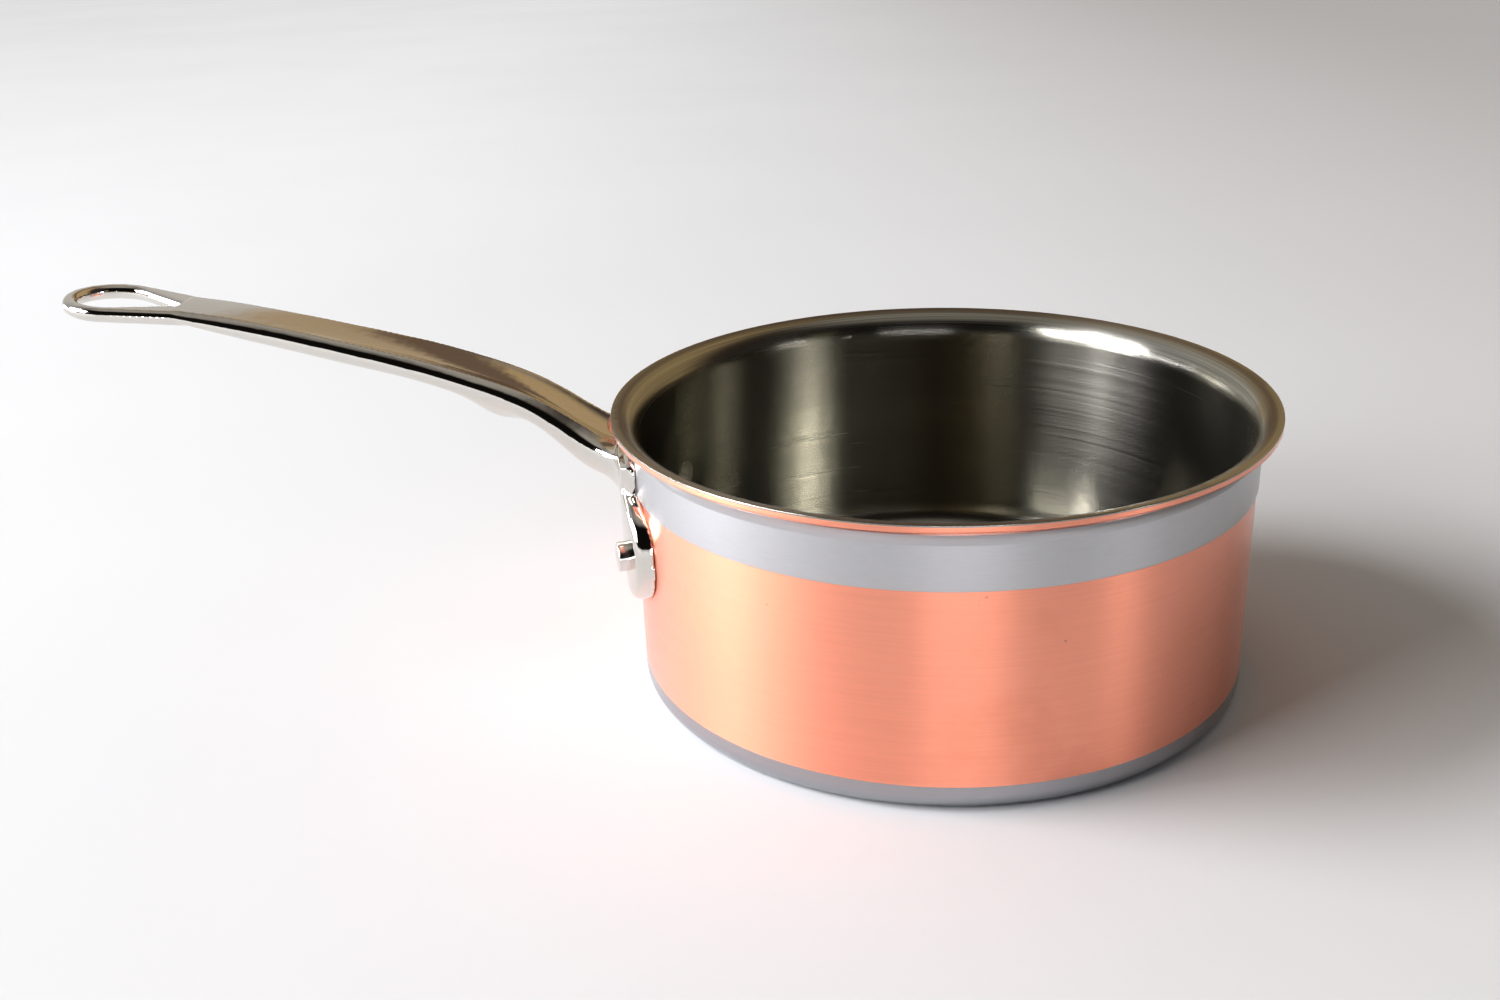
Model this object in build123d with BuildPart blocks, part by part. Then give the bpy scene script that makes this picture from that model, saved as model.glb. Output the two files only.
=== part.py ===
"""Clad copper saucepan with a cast handle and two through rivets.

Millimetres, +Z up. The origin is on the pan's axis at the height of the surface that it stands on,
and the handle runs along -X.
"""
from build123d import *
from math import cos, radians, sin
import os

os.makedirs("parts", exist_ok=True)

# Pan body
lip_radius = 110.5
rim_height = 95.9
inner_radius = 101.4
liner_thickness = 0.6
core_thickness = 1.2
copper_thickness = 0.8
lip_land = 0.4
floor_height = 5.0
floor_corner = 10.0
core_top = 82.0
lip_edge_rounding = 0.8
liner_edge_rounding = 0.25

# Base plate
base_height = 8.7
base_corner = 5.0
base_thickness = 0.8

# Rim band
band_bottom = 73.0
band_thickness = 0.65
band_sweep = 48.0
band_rounding = 0.3

# Rivets: flat heads, the outer one seated on a spot face, the inner one let into the liner
rivet_angle = 20.6
rivet_height = 51.9
rivet_shank = 3.0
rivet_head = 5.0
rivet_clearance = 0.05
rivet_head_height = 3.4
rivet_head_rounding = 0.5
rivet_inner_head = 0.45
rivet_inner_chamfer = 0.25
spot_face_depth = 0.15

# Handle: bracket that hugs the wall, with two ears and an arch between them
bracket_thickness = 5.2
bracket_edge_rounding = 2.4
ear_height = 55.0
ear_offset = 38.2
ear_half_width = 14.2
ear_half_height = 17.4
waist_height = 75.0
waist_offset = 33.5
wing_offset = 37.0
wing_height = 82.5
arch_height = 62.0
arch_foot_offset = 24.0
arch_foot_height = 50.0

# Handle: hanging eye, a round-edged teardrop plate with a teardrop hole
tip_x = -306.5
tip_height = 128.6
bar_width = 5.0
bar_height = 5.2
bar_rounding = 2.3
eye_radius = 12.2
eye_slope = 6.5
eye_point_x = -267.0
eye_point_radius = 1.8
root_x = -262.0
root_radius = 10.8

# Handle: cross-sections of the beam, from the eye to the wall.
# x, height of the two creases, keel height, half width, crease offset, channel depth,
# drop from the crease to the widest line, and how far up the flanks the keel's sides stand
beam_sections = [
    (-264, 128.5, 124.3, 11.4, 8.8, -0.4, 2.4, 0.25),
    (-250, 126.6, 119.8, 11.6, 9.2, -0.5, 3.2, 0.22),
    (-236, 124.2, 116.2, 11.6, 9.2, -0.3, 3.6, 0.22),
    (-205, 117.8, 108.8, 12.3, 9.8, 1.2, 3.9, 0.22),
    (-174, 110.5, 101.3, 13.2, 10.6, 2.0, 4.2, 0.22),
    (-163, 107.3, 96.0, 13.4, 10.6, 2.2, 4.3, 0.36),
    (-153, 104.1, 88.6, 13.5, 10.5, 2.4, 4.4, 0.50),
    (-143, 100.4, 87.6, 13.6, 10.3, 2.6, 4.9, 0.42),
    (-133, 95.4, 82.3, 14.0, 10.0, 2.8, 5.8, 0.26),
    (-121, 87.9, 72.6, 15.2, 10.0, 3.2, 6.0, 0.22),
    (-112, 83.2, 65.5, 18.8, 11.0, 3.6, 4.2, 0.25),
    (-104, 81.2, 61.0, 28.8, 13.0, 4.0, 2.2, 0.35),
    (-97, 81.2, 59.5, 38.0, 14.0, 4.2, 1.4, 0.45),
]
station_count = 16
flank_fullness = 0.8
shoulder_fullness = 0.8

# Worked out from the driving dimensions
wall_thickness = liner_thickness + core_thickness + copper_thickness
liner_outer = inner_radius + liner_thickness
core_outer = liner_outer + core_thickness
copper_radius = inner_radius + wall_thickness
band_radius = copper_radius + band_thickness
bracket_radius = copper_radius + bracket_thickness
flare_radius = lip_radius - lip_land - inner_radius
flare_centre = inner_radius + flare_radius
flare_height = rim_height - flare_radius
corner_height = floor_height + floor_corner
corner_centre = inner_radius - floor_corner
rivet_hole = rivet_shank + rivet_clearance
beam_start = beam_sections[0][0]
beam_end = beam_sections[-1][0]
paddle_radius = eye_radius + bar_width
eye_centre = tip_x + paddle_radius
spot_face = bracket_radius - spot_face_depth


def on_flare(thickness, angle):
    """Point of the flare, that far below its top surface, at that angle up from the wall."""
    radius = flare_radius - thickness
    across = flare_centre - radius * cos(radians(angle))
    return (across, flare_height + radius * sin(radians(angle)))


def beam_section(x):
    """Values of the beam's section at x, on smooth curves that don't overshoot the listed sections."""
    here = max(i for i in range(len(beam_sections) - 1) if beam_sections[i][0] <= x)
    start, end = beam_sections[here], beam_sections[here + 1]
    span = end[0] - start[0]
    t = (x - start[0]) / span
    values = []
    for column in range(1, len(start)):
        rises = [
            (after[column] - before[column]) / (after[0] - before[0])
            for before, after in zip(beam_sections, beam_sections[1:])
        ]
        slopes = [rises[0]]
        for before, after in zip(rises, rises[1:]):
            slopes.append(2 * before * after / (before + after) if before * after > 0 else 0)
        slopes.append(rises[-1])
        values.append(
            (1 + 2 * t) * (1 - t) ** 2 * start[column] + t ** 2 * (3 - 2 * t) * end[column]
            + span * (t * (1 - t) ** 2 * slopes[here] - t ** 2 * (1 - t) * slopes[here + 1]))
    return values


def rivet_plane(side, distance):
    """Plane square to a rivet's axis, at that distance from the pan's axis, facing outwards."""
    angle = radians(180 + side * rivet_angle)
    outwards = Vector(cos(angle), sin(angle), 0)
    return Plane(outwards * distance + Vector(0, 0, rivet_height), z_dir=outwards)


# Steel liner: floor, rounded corner, wall and the top skin of the flared lip
with BuildPart() as inner_liner:
    with BuildSketch(Plane.XZ):
        with BuildLine():
            floor = Line((0, floor_height), (corner_centre, floor_height))
            corner = TangentArc(floor @ 1, (inner_radius, corner_height), tangent=(1, 0))
            wall = Line(corner @ 1, (inner_radius, flare_height))
            flare = TangentArc(wall @ 1, (flare_centre, rim_height), tangent=(0, 1))
            land = Line(flare @ 1, (lip_radius, rim_height))
            edge = Line(land @ 1, (lip_radius, rim_height - liner_thickness))
            land_back = Line(edge @ 1, (flare_centre, rim_height - liner_thickness))
            flare_back = TangentArc(land_back @ 1, (liner_outer, flare_height), tangent=(-1, 0))
            wall_back = Line(flare_back @ 1, (liner_outer, corner_height))
            corner_back = TangentArc(
                wall_back @ 1, (corner_centre, floor_height - liner_thickness), tangent=(0, -1))
            floor_back = Line(corner_back @ 1, (0, floor_height - liner_thickness))
            Line(floor_back @ 1, (0, floor_height))
        make_face()
    revolve(axis=Axis.Z)
    lip_edges = inner_liner.edges().filter_by(GeomType.CIRCLE).sort_by(Axis.Z)[-1:]
    fillet(lip_edges, liner_edge_rounding)
    for side in (-1, 1):
        with BuildSketch(rivet_plane(side, inner_radius - rivet_head)):
            Circle(rivet_head + rivet_clearance)
        extrude(amount=2 * rivet_head, mode=Mode.SUBTRACT)
inner_liner.part.label = "inner_liner"

# Aluminium core: thick under the floor, thin up the wall
with BuildPart() as aluminium_core:
    with BuildSketch(Plane.XZ):
        with BuildLine():
            top = Line((0, floor_height - liner_thickness), (corner_centre, floor_height - liner_thickness))
            corner = TangentArc(top @ 1, (liner_outer, corner_height), tangent=(1, 0))
            inside = Line(corner @ 1, (liner_outer, core_top))
            rim = Line(inside @ 1, (core_outer, core_top))
            outside = Line(rim @ 1, (core_outer, base_corner))
            toe = TangentArc(
                outside @ 1, (core_outer - base_corner + base_thickness, base_thickness), tangent=(0, -1))
            bottom = Line(toe @ 1, (0, base_thickness))
            Line(bottom @ 1, (0, floor_height - liner_thickness))
        make_face()
    revolve(axis=Axis.Z)
    for side in (-1, 1):
        with BuildSketch(rivet_plane(side, inner_radius - rivet_head)):
            Circle(rivet_hole)
        extrude(amount=3 * rivet_head, mode=Mode.SUBTRACT)
aluminium_core.part.label = "aluminium_core"

# Copper shell: thin up the wall, thick through the lip, where it closes over the core's top edge
with BuildPart() as copper_shell:
    with BuildSketch(Plane.XZ):
        with BuildLine():
            foot = Line((core_outer, base_height), (copper_radius, base_height))
            outside = Line(foot @ 1, (copper_radius, flare_height))
            flare = TangentArc(outside @ 1, (flare_centre, rim_height - wall_thickness), tangent=(0, 1))
            land = Line(flare @ 1, (lip_radius, rim_height - wall_thickness))
            edge = Line(land @ 1, (lip_radius, rim_height - liner_thickness))
            land_back = Line(edge @ 1, (flare_centre, rim_height - liner_thickness))
            flare_back = TangentArc(land_back @ 1, (liner_outer, flare_height), tangent=(-1, 0))
            inside = Line(flare_back @ 1, (liner_outer, core_top))
            shoulder = Line(inside @ 1, (core_outer, core_top))
            Line(shoulder @ 1, (core_outer, base_height))
        make_face()
    revolve(axis=Axis.Z)
    lip_edges = copper_shell.edges().filter_by(GeomType.CIRCLE).filter_by(
        lambda edge: abs(edge.radius - lip_radius) < lip_land / 2).sort_by(Axis.Z)[:1]
    fillet(lip_edges, lip_edge_rounding)
    for side in (-1, 1):
        with BuildSketch(rivet_plane(side, inner_radius)):
            Circle(rivet_hole)
        extrude(amount=2 * rivet_head, mode=Mode.SUBTRACT)
copper_shell.part.label = "copper_shell"

# Steel band under the lip, turned out with the start of the flare
with BuildPart() as rim_band:
    with BuildSketch(Plane.XZ):
        with BuildLine():
            foot = Line((copper_radius, band_bottom), (band_radius, band_bottom))
            outside = Line(foot @ 1, (band_radius, flare_height))
            top = on_flare(wall_thickness + band_thickness, band_sweep)
            flare = TangentArc(outside @ 1, top, tangent=(0, 1))
            rim = Line(flare @ 1, on_flare(wall_thickness, band_sweep))
            middle = on_flare(wall_thickness, band_sweep / 2)
            ThreePointArc(rim @ 1, middle, (copper_radius, flare_height))
            Line((copper_radius, flare_height), (copper_radius, band_bottom))
        make_face()
    revolve(axis=Axis.Z)
    low_edge = rim_band.edges().filter_by(GeomType.CIRCLE).filter_by(
        lambda edge: abs(edge.radius - band_radius) < band_thickness / 2).sort_by(Axis.Z)[:1]
    fillet(low_edge, band_rounding)
rim_band.part.label = "rim_band"

# Magnetic steel base: a shallow cup over the core's underside
with BuildPart() as base_plate:
    with BuildSketch(Plane.XZ):
        with BuildLine():
            under = Line((0, 0), (copper_radius - base_corner, 0))
            toe = TangentArc(under @ 1, (copper_radius, base_corner), tangent=(1, 0))
            side_wall = Line(toe @ 1, (copper_radius, base_height))
            rim = Line(side_wall @ 1, (core_outer, base_height))
            side_back = Line(rim @ 1, (core_outer, base_corner))
            toe_back = TangentArc(
                side_back @ 1, (core_outer - base_corner + base_thickness, base_thickness), tangent=(0, -1))
            over = Line(toe_back @ 1, (0, base_thickness))
            Line(over @ 1, (0, 0))
        make_face()
    revolve(axis=Axis.Z)
base_plate.part.label = "base_plate"

# Handle, first piece of the casting: the hanging eye
tilt = radians(eye_slope)
eye_plane = Plane((eye_centre, 0, tip_height), z_dir=(sin(tilt), 0, cos(tilt)))
with BuildPart() as eye:
    for big, small, point_x, mode in (
        (paddle_radius, root_radius, root_x, Mode.ADD),
        (eye_radius, eye_point_radius, eye_point_x, Mode.SUBTRACT),
    ):
        with BuildSketch(eye_plane.offset(-bar_height / 2)):
            Circle(big)
            with Locations((point_x - eye_centre, 0)):
                Circle(small)
            make_hull()
        extrude(amount=bar_height, mode=mode)
    rims = eye.edges().filter_by(lambda edge: abs(edge.tangent_at(0.5).dot(eye_plane.z_dir)) < 0.5)
    fillet(rims, bar_rounding)

# Handle, second piece: the bracket plate, cut from a ring around the pan
with BuildPart() as bracket:
    with BuildSketch(Plane.YZ.offset(-bracket_radius)):
        with BuildLine():
            for side in (-1, 1):
                Spline(
                    (side * wing_offset, wing_height), (side * waist_offset, waist_height),
                    (side * (ear_offset + ear_half_width), ear_height),
                    tangents=((0, -1), (0, -1)))
                ThreePointArc(
                    (side * (ear_offset + ear_half_width), ear_height),
                    (side * ear_offset, ear_height - ear_half_height),
                    (side * arch_foot_offset, arch_foot_height))
            ThreePointArc(
                (arch_foot_offset, arch_foot_height), (0, arch_height), (-arch_foot_offset, arch_foot_height))
            Line((wing_offset, wing_height), (-wing_offset, wing_height))
        make_face()
    extrude(amount=bracket_radius - inner_radius / 2)
    with BuildSketch(Plane.XY):
        Circle(bracket_radius)
        Circle(copper_radius, mode=Mode.SUBTRACT)
    extrude(amount=rim_height, mode=Mode.INTERSECT)
    outer_rims = bracket.edges().filter_by(
        lambda edge: (edge @ 0.5).Z < wing_height - bracket_edge_rounding
        and Vector((edge @ 0.5).X, (edge @ 0.5).Y).length > bracket_radius - wall_thickness)
    fillet(outer_rims, bracket_edge_rounding)

# Handle: the whole casting, fitted to the wall
with BuildPart() as handle:
    # Beam: channel, two shoulders and two flanks that meet at the keel, lofted from the eye to the wall
    for station in range(station_count):
        x = beam_start + station * (beam_end - beam_start) / (station_count - 1)
        crease_height, keel, half_width, crease, depth, drop, side_height = beam_section(x)
        widest = crease_height - drop
        shoulder_slope = shoulder_fullness * drop / (half_width - crease)
        flank = (flank_fullness * half_width, keel + side_height * (widest - keel))
        # The sketch plane's own x runs along +Y
        with BuildSketch(Plane((x, 0, 0), x_dir=(0, 1, 0), z_dir=(1, 0, 0))):
            with BuildLine():
                ThreePointArc(
                    (-crease, crease_height), (0, crease_height - depth), (crease, crease_height))
                for side in (1, -1):
                    shoulder = Spline(
                        (side * crease, crease_height), (side * half_width, widest),
                        tangents=((side, -shoulder_slope), (0, -1)))
                    Spline(
                        shoulder @ 1, (side * flank[0], flank[1]), (0, keel),
                        tangents=((0, -1), (-side, 0)))
            make_face()
    loft()
    add(eye.part)
    add(bracket.part)
    with BuildSketch(Plane.XY):
        Circle(copper_radius)
    extrude(amount=band_bottom, mode=Mode.SUBTRACT)
    with BuildSketch(Plane.XY.offset(band_bottom)):
        Circle(band_radius)
    extrude(amount=rim_height, mode=Mode.SUBTRACT)
    for side in (-1, 1):
        with BuildSketch(rivet_plane(side, inner_radius)):
            Circle(rivet_shank + rivet_clearance)
        extrude(amount=2 * bracket_thickness + wall_thickness, mode=Mode.SUBTRACT)
        with BuildSketch(rivet_plane(side, spot_face)):
            Circle(rivet_head + rivet_clearance)
        extrude(amount=2 * rivet_head_height, mode=Mode.SUBTRACT)
handle.part.label = "handle"

# Rivets: one through each ear and the wall
rivets = []
for side, place in ((-1, "back"), (1, "front")):
    with BuildPart() as rivet:
        with BuildSketch(rivet_plane(side, inner_radius)):
            Circle(rivet_head)
        extrude(amount=rivet_inner_head)
        with BuildSketch(rivet_plane(side, inner_radius)):
            Circle(rivet_shank)
        extrude(amount=spot_face - inner_radius)
        with BuildSketch(rivet_plane(side, spot_face)):
            Circle(rivet_head)
        extrude(amount=rivet_head_height)
        crown = rivet.faces().filter_by(GeomType.PLANE).sort_by_distance((0, 0, rivet_height))[-1]
        fillet(crown.edges(), rivet_head_rounding)
        flush = rivet.faces().filter_by(GeomType.PLANE).sort_by_distance((0, 0, rivet_height))[0]
        chamfer(flush.edges(), rivet_inner_chamfer)
    rivet.part.label = f"rivet_{place}"
    rivets.append(rivet)

for node in (inner_liner, aluminium_core, copper_shell, rim_band, base_plate, handle, *rivets):
    export_step(node.part, f"parts/{node.part.label}.step")
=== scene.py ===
"""Copper saucepan: materials, the handle as a soft casting, floor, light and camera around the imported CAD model."""

import math

import bpy
from mathutils import Matrix, Vector


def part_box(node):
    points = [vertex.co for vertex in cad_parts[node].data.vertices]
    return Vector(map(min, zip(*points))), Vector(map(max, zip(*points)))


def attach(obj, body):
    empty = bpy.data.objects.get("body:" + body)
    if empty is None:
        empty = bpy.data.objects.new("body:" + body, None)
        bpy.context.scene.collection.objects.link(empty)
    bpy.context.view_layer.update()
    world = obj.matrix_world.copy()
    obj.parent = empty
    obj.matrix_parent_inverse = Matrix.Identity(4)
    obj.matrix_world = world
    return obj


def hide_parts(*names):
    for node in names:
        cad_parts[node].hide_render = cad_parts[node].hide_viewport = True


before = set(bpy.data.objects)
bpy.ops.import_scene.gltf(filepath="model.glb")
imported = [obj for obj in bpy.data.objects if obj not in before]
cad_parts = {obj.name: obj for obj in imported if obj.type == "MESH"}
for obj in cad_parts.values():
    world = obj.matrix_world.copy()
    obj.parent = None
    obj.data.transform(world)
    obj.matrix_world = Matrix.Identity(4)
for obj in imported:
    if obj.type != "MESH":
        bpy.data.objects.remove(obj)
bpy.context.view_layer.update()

LIP_RADIUS = (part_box("copper_shell")[1].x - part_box("copper_shell")[0].x) / 2


# ---------------------------------------------------------------- node helpers

def add_node(tree, kind, links=None, **settings):
    """New node. Settings are properties, links maps an input's name or number to a value or an output socket."""
    node = tree.nodes.new(kind)
    for name, value in settings.items():
        setattr(node, name, value)
    for name, value in (links or {}).items():
        if isinstance(value, bpy.types.NodeSocket):
            tree.links.new(value, node.inputs[name])
        else:
            node.inputs[name].default_value = value
    return node


def maths(tree, operation, *values, clamp=False):
    return add_node(tree, "ShaderNodeMath", dict(enumerate(values)), operation=operation, use_clamp=clamp).outputs[0]


def smooth_step(tree, value, low, high, to_low=0.0, to_high=1.0):
    links = {"Value": value, "From Min": low, "From Max": high, "To Min": to_low, "To Max": to_high}
    return add_node(tree, "ShaderNodeMapRange", links, interpolation_type="SMOOTHSTEP").outputs[0]


def mix_colour(tree, factor, first, second, blend="MIX"):
    node = tree.nodes.new("ShaderNodeMix")
    node.data_type = "RGBA"
    node.blend_type = blend
    for number, value in ((0, factor), (6, first), (7, second)):
        if isinstance(value, bpy.types.NodeSocket):
            tree.links.new(value, node.inputs[number])
        else:
            node.inputs[number].default_value = value if number == 0 else (*value, 1.0)
    return node.outputs[2]


def noise(tree, vector, scale, detail=3.0, roughness=0.5):
    links = {"Vector": vector, "Scale": scale, "Detail": detail, "Roughness": roughness}
    return add_node(tree, "ShaderNodeTexNoise", links).outputs["Fac"]


# ------------------------------------------------------------------- materials

MARKS_PER_METRE = 28.0
SPECKS_PER_METRE = 85.0
SPECK_CORE, SPECK_EDGE = 0.015, 0.05
GROOVE_HEIGHT = 0.0002
ACROSS_THE_GROOVES = 0.25


def metal(name, colour, stain, roughness, grain, brushed=0.0, turned=True, lines=1600.0, run=30.0, depth=0.02,
          contrast=0.1, blotches=0.0, pits=0.0):
    """A brushed or polished metal.

    stain is the colour of its faint marks and blotches their strength. grain is how much the roughness varies.
    lines and run are the brushing's fineness across and along, per metre, depth is its bump and contrast the
    strength of its dark lines. turned brushing runs round the pan, the rest along X. pits are dark specks.
    """
    material = bpy.data.materials.new(name)
    material.use_nodes = True
    tree = material.node_tree
    shader = tree.nodes["Principled BSDF"]
    shader.inputs["Metallic"].default_value = 1.0
    place = add_node(tree, "ShaderNodeTexCoord").outputs["Object"]
    split = add_node(tree, "ShaderNodeSeparateXYZ", {0: place})
    x, y, z = split.outputs
    if turned:
        radius = maths(tree, "SQRT", maths(tree, "ADD", maths(tree, "MULTIPLY", x, x), maths(tree, "MULTIPLY", y, y)))
        across = maths(tree, "MULTIPLY", maths(tree, "ADD", radius, z), lines)
        streaks = add_node(tree, "ShaderNodeCombineXYZ", {
            0: maths(tree, "MULTIPLY", x, run), 1: maths(tree, "MULTIPLY", y, run), 2: across}).outputs[0]
    else:
        streaks = add_node(tree, "ShaderNodeCombineXYZ", {
            0: maths(tree, "MULTIPLY", x, run), 1: maths(tree, "MULTIPLY", y, lines),
            2: maths(tree, "MULTIPLY", z, lines)}).outputs[0]
    fine = noise(tree, streaks, 1.0, 4.0, 0.65)
    broad = noise(tree, place, MARKS_PER_METRE, 4.0, 0.6)
    marks = smooth_step(tree, broad, 0.52, 0.75, 0.0, blotches)
    tone = mix_colour(tree, marks, colour, stain)
    dark_lines = smooth_step(tree, fine, 0.35, 0.65, 0.0, contrast)
    tone = mix_colour(tree, dark_lines, tone, [part * 0.6 for part in colour])
    bump_height = fine
    if pits:
        specks = add_node(tree, "ShaderNodeTexVoronoi", {"Vector": place, "Scale": SPECKS_PER_METRE}).outputs["Distance"]
        dots = smooth_step(tree, specks, SPECK_CORE, SPECK_EDGE, 1.0, 0.0)
        tone = mix_colour(tree, maths(tree, "MULTIPLY", dots, pits), tone, [part * 0.45 for part in colour])
        bump_height = maths(tree, "SUBTRACT", fine, maths(tree, "MULTIPLY", dots, 2.0))
    tree.links.new(tone, shader.inputs["Base Color"])
    level = maths(tree, "ADD", roughness - grain / 2, maths(tree, "MULTIPLY", fine, grain))
    level = maths(tree, "ADD", level, maths(tree, "MULTIPLY", marks, 0.08), clamp=True)
    tree.links.new(level, shader.inputs["Roughness"])
    bump = add_node(tree, "ShaderNodeBump", {"Strength": depth, "Distance": GROOVE_HEIGHT, "Height": bump_height})
    tree.links.new(bump.outputs[0], shader.inputs["Normal"])
    if brushed:
        # The grooves run round the pan, so the highlight is drawn out across them
        shader.inputs["Anisotropic"].default_value = brushed
        shader.inputs["Anisotropic Rotation"].default_value = ACROSS_THE_GROOVES
        tangent = add_node(tree, "ShaderNodeTangent", direction_type="RADIAL", axis="Z")
        tree.links.new(tangent.outputs[0], shader.inputs["Tangent"])
    return material


copper = metal("copper_satin", (0.97, 0.35, 0.215), (0.85, 0.27, 0.14), 0.33, 0.08, brushed=0.8, lines=1800.0,
               run=26.0, depth=0.03, blotches=0.4, pits=0.6)
# A clear coat pales the copper's highlights
for setting, value in (("Coat Weight", 0.8), ("Coat Roughness", 0.25), ("Coat IOR", 2.0)):
    copper.node_tree.nodes["Principled BSDF"].inputs[setting].default_value = value
liner = metal("liner_brushed", (0.46, 0.45, 0.40), (0.40, 0.38, 0.33), 0.23, 0.22, brushed=0.88, lines=1100.0,
              run=6.0, depth=0.06, contrast=0.7, blotches=0.1)
band = metal("band_satin", (0.52, 0.525, 0.54), (0.46, 0.46, 0.475), 0.32, 0.05, brushed=0.5, lines=2400.0,
             run=200.0, depth=0.02, blotches=0.3)
base = metal("base_turned", (0.42, 0.43, 0.45), (0.36, 0.365, 0.38), 0.24, 0.08, brushed=0.5, lines=1400.0,
             run=14.0, depth=0.08, blotches=0.3)
core = metal("core_rolled", (0.78, 0.79, 0.80), (0.70, 0.71, 0.72), 0.35, 0.05, lines=1400.0, run=20.0)
cast = metal("handle_polished", (0.74, 0.71, 0.67), (0.62, 0.58, 0.53), 0.07, 0.05, turned=False, lines=1400.0,
             run=22.0, depth=0.012, blotches=0.25)
rivet_steel = metal("rivet_polished", (0.72, 0.70, 0.67), (0.60, 0.57, 0.53), 0.14, 0.06, depth=0.03, blotches=0.3)

for node_name, material in (("inner_liner", liner), ("aluminium_core", core), ("copper_shell", copper),
                            ("rim_band", band), ("base_plate", base), ("handle", cast),
                            ("rivet_front", rivet_steel), ("rivet_back", rivet_steel)):
    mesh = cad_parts[node_name].data
    mesh.materials.clear()
    mesh.materials.append(material)


# ---------------------------------------------------------------------- handle

CASTING_VOXEL = 0.0005
CASTING_PASSES = 7
CASTING_FACTOR = 0.5


def soft_casting():
    """The handle with the blends of a casting: a copy of its CAD mesh, remeshed and smoothed."""
    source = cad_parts["handle"]
    casting = bpy.data.objects.new("handle_casting", source.data.copy())
    bpy.context.scene.collection.objects.link(casting)
    remesh = casting.modifiers.new("remesh", "REMESH")
    remesh.mode = "VOXEL"
    remesh.voxel_size = CASTING_VOXEL
    smooth = casting.modifiers.new("smooth", "SMOOTH")
    smooth.factor = CASTING_FACTOR
    smooth.iterations = CASTING_PASSES
    bpy.context.view_layer.update()
    evaluated = casting.evaluated_get(bpy.context.evaluated_depsgraph_get())
    mesh = bpy.data.meshes.new_from_object(evaluated)
    casting.modifiers.clear()
    casting.data = mesh
    mesh.materials.clear()
    mesh.materials.append(cast)
    mesh.polygons.foreach_set("use_smooth", [True] * len(mesh.polygons))
    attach(casting, "root")
    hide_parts("handle")


soft_casting()


# ----------------------------------------------------------------------- floor

FLOOR_SIZE = 24.0
FLOOR_BRIGHT, FLOOR_PALE = (0.765, 0.785, 0.82), (0.785, 0.805, 0.84)
# Painted shade: the grey the floor's colour is painted towards, away from the windows, and where that painted falloff
# starts and ends
FLOOR_PAINTED_SHADE = (0.47, 0.46, 0.465)
PAINTED_SHADE_FROM, PAINTED_SHADE_TO = -0.7, 1.0
PAINTED_SHADE_WITH_Y = 0.12


def pale_floor():
    """Matt white paper with painted shade: its colour is painted darker away from the windows, towards +X, in place
    of the light falling off.
    """
    bpy.ops.mesh.primitive_grid_add(x_subdivisions=8, y_subdivisions=8, size=FLOOR_SIZE)
    floor = bpy.context.object
    floor.name = "floor"
    paper = bpy.data.materials.new("paper")
    paper.use_nodes = True
    tree = paper.node_tree
    shader = tree.nodes["Principled BSDF"]
    place = add_node(tree, "ShaderNodeTexCoord").outputs["Object"]
    grain = noise(tree, place, 900.0, 4.0, 0.6)
    cloud = noise(tree, place, 3.0, 2.0, 0.5)
    tone = mix_colour(tree, smooth_step(tree, cloud, 0.3, 0.7), FLOOR_BRIGHT, FLOOR_PALE)
    # Painted shade: the paper's colour darkens towards +X, and a little towards +Y, in place of the windows' light
    # falling off
    x, y, _ = add_node(tree, "ShaderNodeSeparateXYZ", {0: place}).outputs
    away = maths(tree, "ADD", x, maths(tree, "MULTIPLY", y, PAINTED_SHADE_WITH_Y))
    tone = mix_colour(tree, smooth_step(tree, away, PAINTED_SHADE_FROM, PAINTED_SHADE_TO), tone, FLOOR_PAINTED_SHADE)
    tree.links.new(tone, shader.inputs["Base Color"])
    shader.inputs["Roughness"].default_value = 0.75
    shader.inputs["Specular IOR Level"].default_value = 0.0
    bump = add_node(tree, "ShaderNodeBump", {"Strength": 0.06, "Distance": 0.0003, "Height": grain})
    tree.links.new(bump.outputs[0], shader.inputs["Normal"])
    floor.data.materials.append(paper)


pale_floor()


# ---------------------------------------------------------------------- camera

# The viewpoint: distance and height in lip radii, three turns in radians, a swing about Z, and the lens
CAMERA_DISTANCE, CAMERA_HEIGHT = 4.4592, 2.3676
CAMERA_PITCH, CAMERA_YAW, CAMERA_ROLL = 0.3905, -0.1323, -0.0400
CAMERA_SWING = math.radians(0.6)
FOCAL_OVER_WIDTH = 1529.4 / 1500


def add_camera():
    data = bpy.data.cameras.new("camera")
    data.sensor_width = 36.0
    data.lens = 36.0 * FOCAL_OVER_WIDTH
    camera = bpy.data.objects.new("camera", data)
    bpy.context.scene.collection.objects.link(camera)
    forward = Vector((math.sin(CAMERA_YAW) * math.cos(CAMERA_PITCH), math.cos(CAMERA_YAW) * math.cos(CAMERA_PITCH),
                      -math.sin(CAMERA_PITCH)))
    right = forward.cross(Vector((0, 0, 1))).normalized()
    up = right.cross(forward)
    across = right * math.cos(CAMERA_ROLL) + up * math.sin(CAMERA_ROLL)
    over = up * math.cos(CAMERA_ROLL) - right * math.sin(CAMERA_ROLL)
    place = Vector((0, -CAMERA_DISTANCE, CAMERA_HEIGHT)) * LIP_RADIUS
    turn = Matrix((across, over, -forward)).transposed().to_4x4()
    camera.matrix_world = Matrix.Rotation(CAMERA_SWING, 4, "Z") @ Matrix.Translation(place) @ turn
    bpy.context.scene.camera = camera


add_camera()


# ----------------------------------------------------------------------- light

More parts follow.
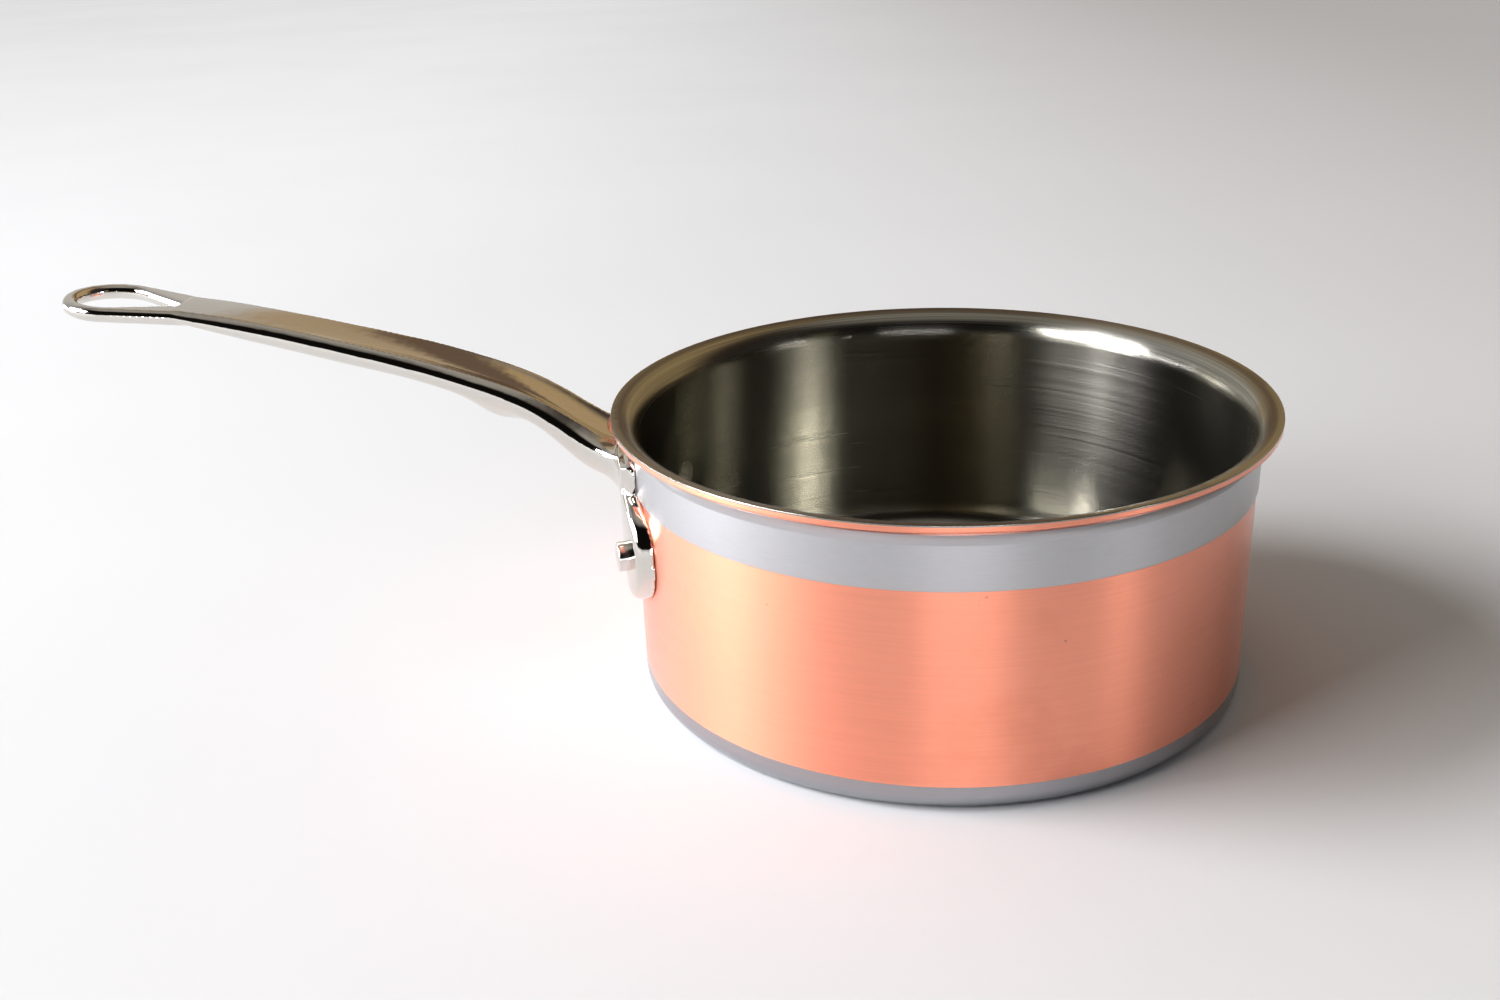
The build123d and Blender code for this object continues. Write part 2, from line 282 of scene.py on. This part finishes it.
def add_panel(name, place, target, size, power, colour):
    data = bpy.data.lights.new(name, "AREA")
    data.shape = "RECTANGLE"
    data.size, data.size_y = size
    data.energy = power
    data.color = colour
    light = bpy.data.objects.new(name, data)
    bpy.context.scene.collection.objects.link(light)
    light.location = place
    light.rotation_euler = (Vector(target) - Vector(place)).to_track_quat("-Z", "Y").to_euler()
    light.visible_camera = False
    return light


def around(azimuth, distance, height):
    """Point that far from the pan's axis, with the azimuth in degrees from +X."""
    angle = math.radians(azimuth)
    return (distance * math.cos(angle), distance * math.sin(angle), height)


PAN_MIDDLE = (0, 0, 0.05)
PANEL_DISTANCE = 3.2
LOW_PANEL = 0.13
DAY_WHITE, COOL_WHITE, LAMP_YELLOW = (1.0, 0.99, 0.98), (0.97, 0.95, 1.0), (1.0, 0.93, 0.62)

# Name, azimuth, height, size, power, colour, and whether it lights matt surfaces as well as showing in the metals
PANELS = (
    ("window", -147, 1.5, (1.5, 1.6), 75.0, DAY_WHITE, True),
    ("window_core", -159, 1.5, (0.3, 1.6), 95.0, COOL_WHITE, False),
    ("window_side", -172, 1.3, (0.7, 1.5), 48.0, COOL_WHITE, False),
    ("low_left", 178, LOW_PANEL, (2.6, 2 * LOW_PANEL), 60.0, COOL_WHITE, False),
    ("low_front", -80, LOW_PANEL, (1.6, 2 * LOW_PANEL), 17.0, COOL_WHITE, False),
    ("low_right", -26, LOW_PANEL, (0.6, 2 * LOW_PANEL), 7.0, COOL_WHITE, False),
    ("window_far", -38, 1.2, (0.7, 1.2), 0.5, LAMP_YELLOW, True),
)
for panel_name, azimuth, height, size, power, colour, lights_matt in PANELS:
    panel = add_panel(panel_name, around(azimuth, PANEL_DISTANCE, height), PAN_MIDDLE, size, power, colour)
    panel.visible_diffuse = lights_matt


def add_daylight(name, power, spread, source):
    """Soft, even daylight. It lights the floor only, since the metals show the panels and the room instead."""
    data = bpy.data.lights.new(name, "SUN")
    data.energy = power
    data.angle = math.radians(spread)
    light = bpy.data.objects.new(name, data)
    bpy.context.scene.collection.objects.link(light)
    light.rotation_euler = (-Vector(source)).to_track_quat("-Z", "Y").to_euler()
    light.visible_glossy = False


DAYLIGHT_FROM = around(-176, 1.0, 0.72)
OVERHEAD = (0, 0, 1)
add_daylight("daylight", 2.55, 28, DAYLIGHT_FROM)
add_daylight("sky", 0.28, 120, OVERHEAD)


LEFT_WALL, FRONT_LEFT, RIGHT_WALL = (0.40, 0.40, 0.40), (0.10, 0.09, 0.08), (0.05, 0.04, 0.035)
BACK_LEFT, BACK_WARM = (0.52, 0.50, 0.47), (0.42, 0.33, 0.22)
BACK_MIDDLE, BACK_RIGHT = (0.17, 0.12, 0.085), (0.44, 0.33, 0.19)
DARK_FRONT, CEILING = (0.008, 0.007, 0.006), (0.36, 0.34, 0.31)
HORIZON_LEFT, HORIZON_RIGHT = (0.70, 0.70, 0.70), (0.12, 0.11, 0.10)


def add_room():
    """A room by direction: pale horizon, bright ceiling, warm wall behind the pan, dark in front of it."""
    world = bpy.data.worlds.new("room")
    world.use_nodes = True
    bpy.context.scene.world = world
    tree = world.node_tree
    away = add_node(tree, "ShaderNodeTexCoord").outputs["Generated"]
    x, y, z = add_node(tree, "ShaderNodeSeparateXYZ", {0: away}).outputs
    wall = mix_colour(tree, smooth_step(tree, x, -0.75, -0.3), LEFT_WALL, FRONT_LEFT)
    wall = mix_colour(tree, smooth_step(tree, x, 0.2, 0.7), wall, RIGHT_WALL)
    back = mix_colour(tree, smooth_step(tree, x, -0.18, -0.08), BACK_WARM, BACK_MIDDLE)
    back = mix_colour(tree, smooth_step(tree, x, 0.03, 0.14), back, BACK_RIGHT)
    back = mix_colour(tree, smooth_step(tree, x, -0.36, -0.26), BACK_LEFT, back)
    wall = mix_colour(tree, smooth_step(tree, y, 0.2, 0.6), wall, back)
    wall = mix_colour(tree, smooth_step(tree, y, -0.1, -0.45), wall, DARK_FRONT)
    room = mix_colour(tree, smooth_step(tree, z, 0.84, 0.98), wall, CEILING)
    horizon = mix_colour(tree, smooth_step(tree, x, -0.2, 0.5), HORIZON_LEFT, HORIZON_RIGHT)
    colour = mix_colour(tree, smooth_step(tree, z, 0.03, 0.07), horizon, room)
    background = tree.nodes["Background"]
    tree.links.new(colour, background.inputs["Color"])
    background.inputs["Strength"].default_value = 1.0


add_room()
bpy.context.scene.view_settings.view_transform = "Standard"
bpy.context.scene.view_settings.look = "Medium High Contrast"
